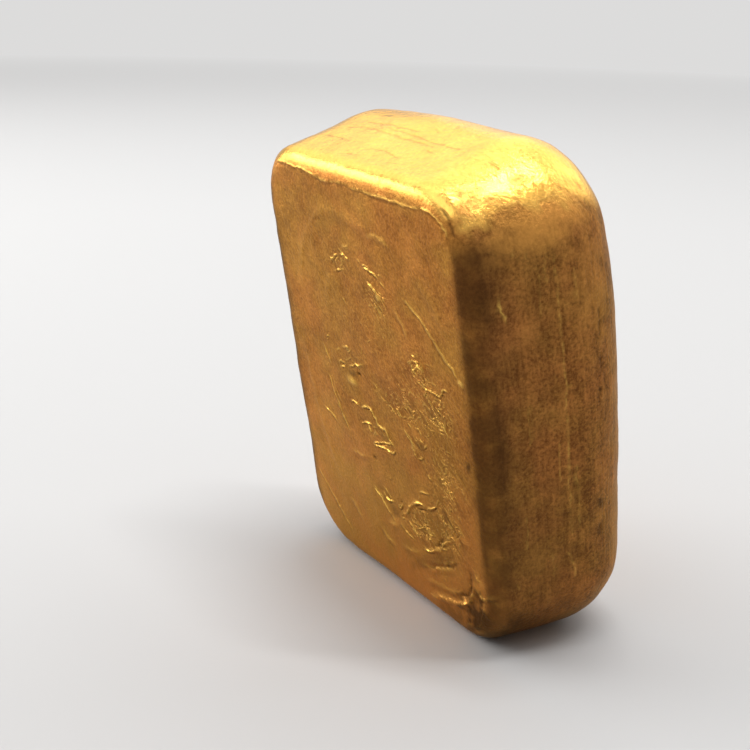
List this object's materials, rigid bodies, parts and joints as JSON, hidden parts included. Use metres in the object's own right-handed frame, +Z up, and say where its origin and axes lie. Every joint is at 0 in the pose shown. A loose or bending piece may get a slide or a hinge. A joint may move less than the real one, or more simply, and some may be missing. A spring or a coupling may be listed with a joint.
{
  "type": "metal ingot",
  "caption": "Small hand-poured gold bar with a rippled cast face, drafted sides and a broad meniscus round, standing on one flat end.",
  "frame": {"origin": "on the floor under the middle of the ingot, which stands on its flat end", "axes": "+Z up along the ingot's length, -Y out of the rippled cast face, +Y out of the pour face, +X across its width"},
  "size_m": [0.0374, 0.0234, 0.0473],
  "materials": {
    "gold": "as cast, satin with polished patches"
  },
  "bodies": {
    "root": {"ingot": "gold"}
  },
  "joints": []
}
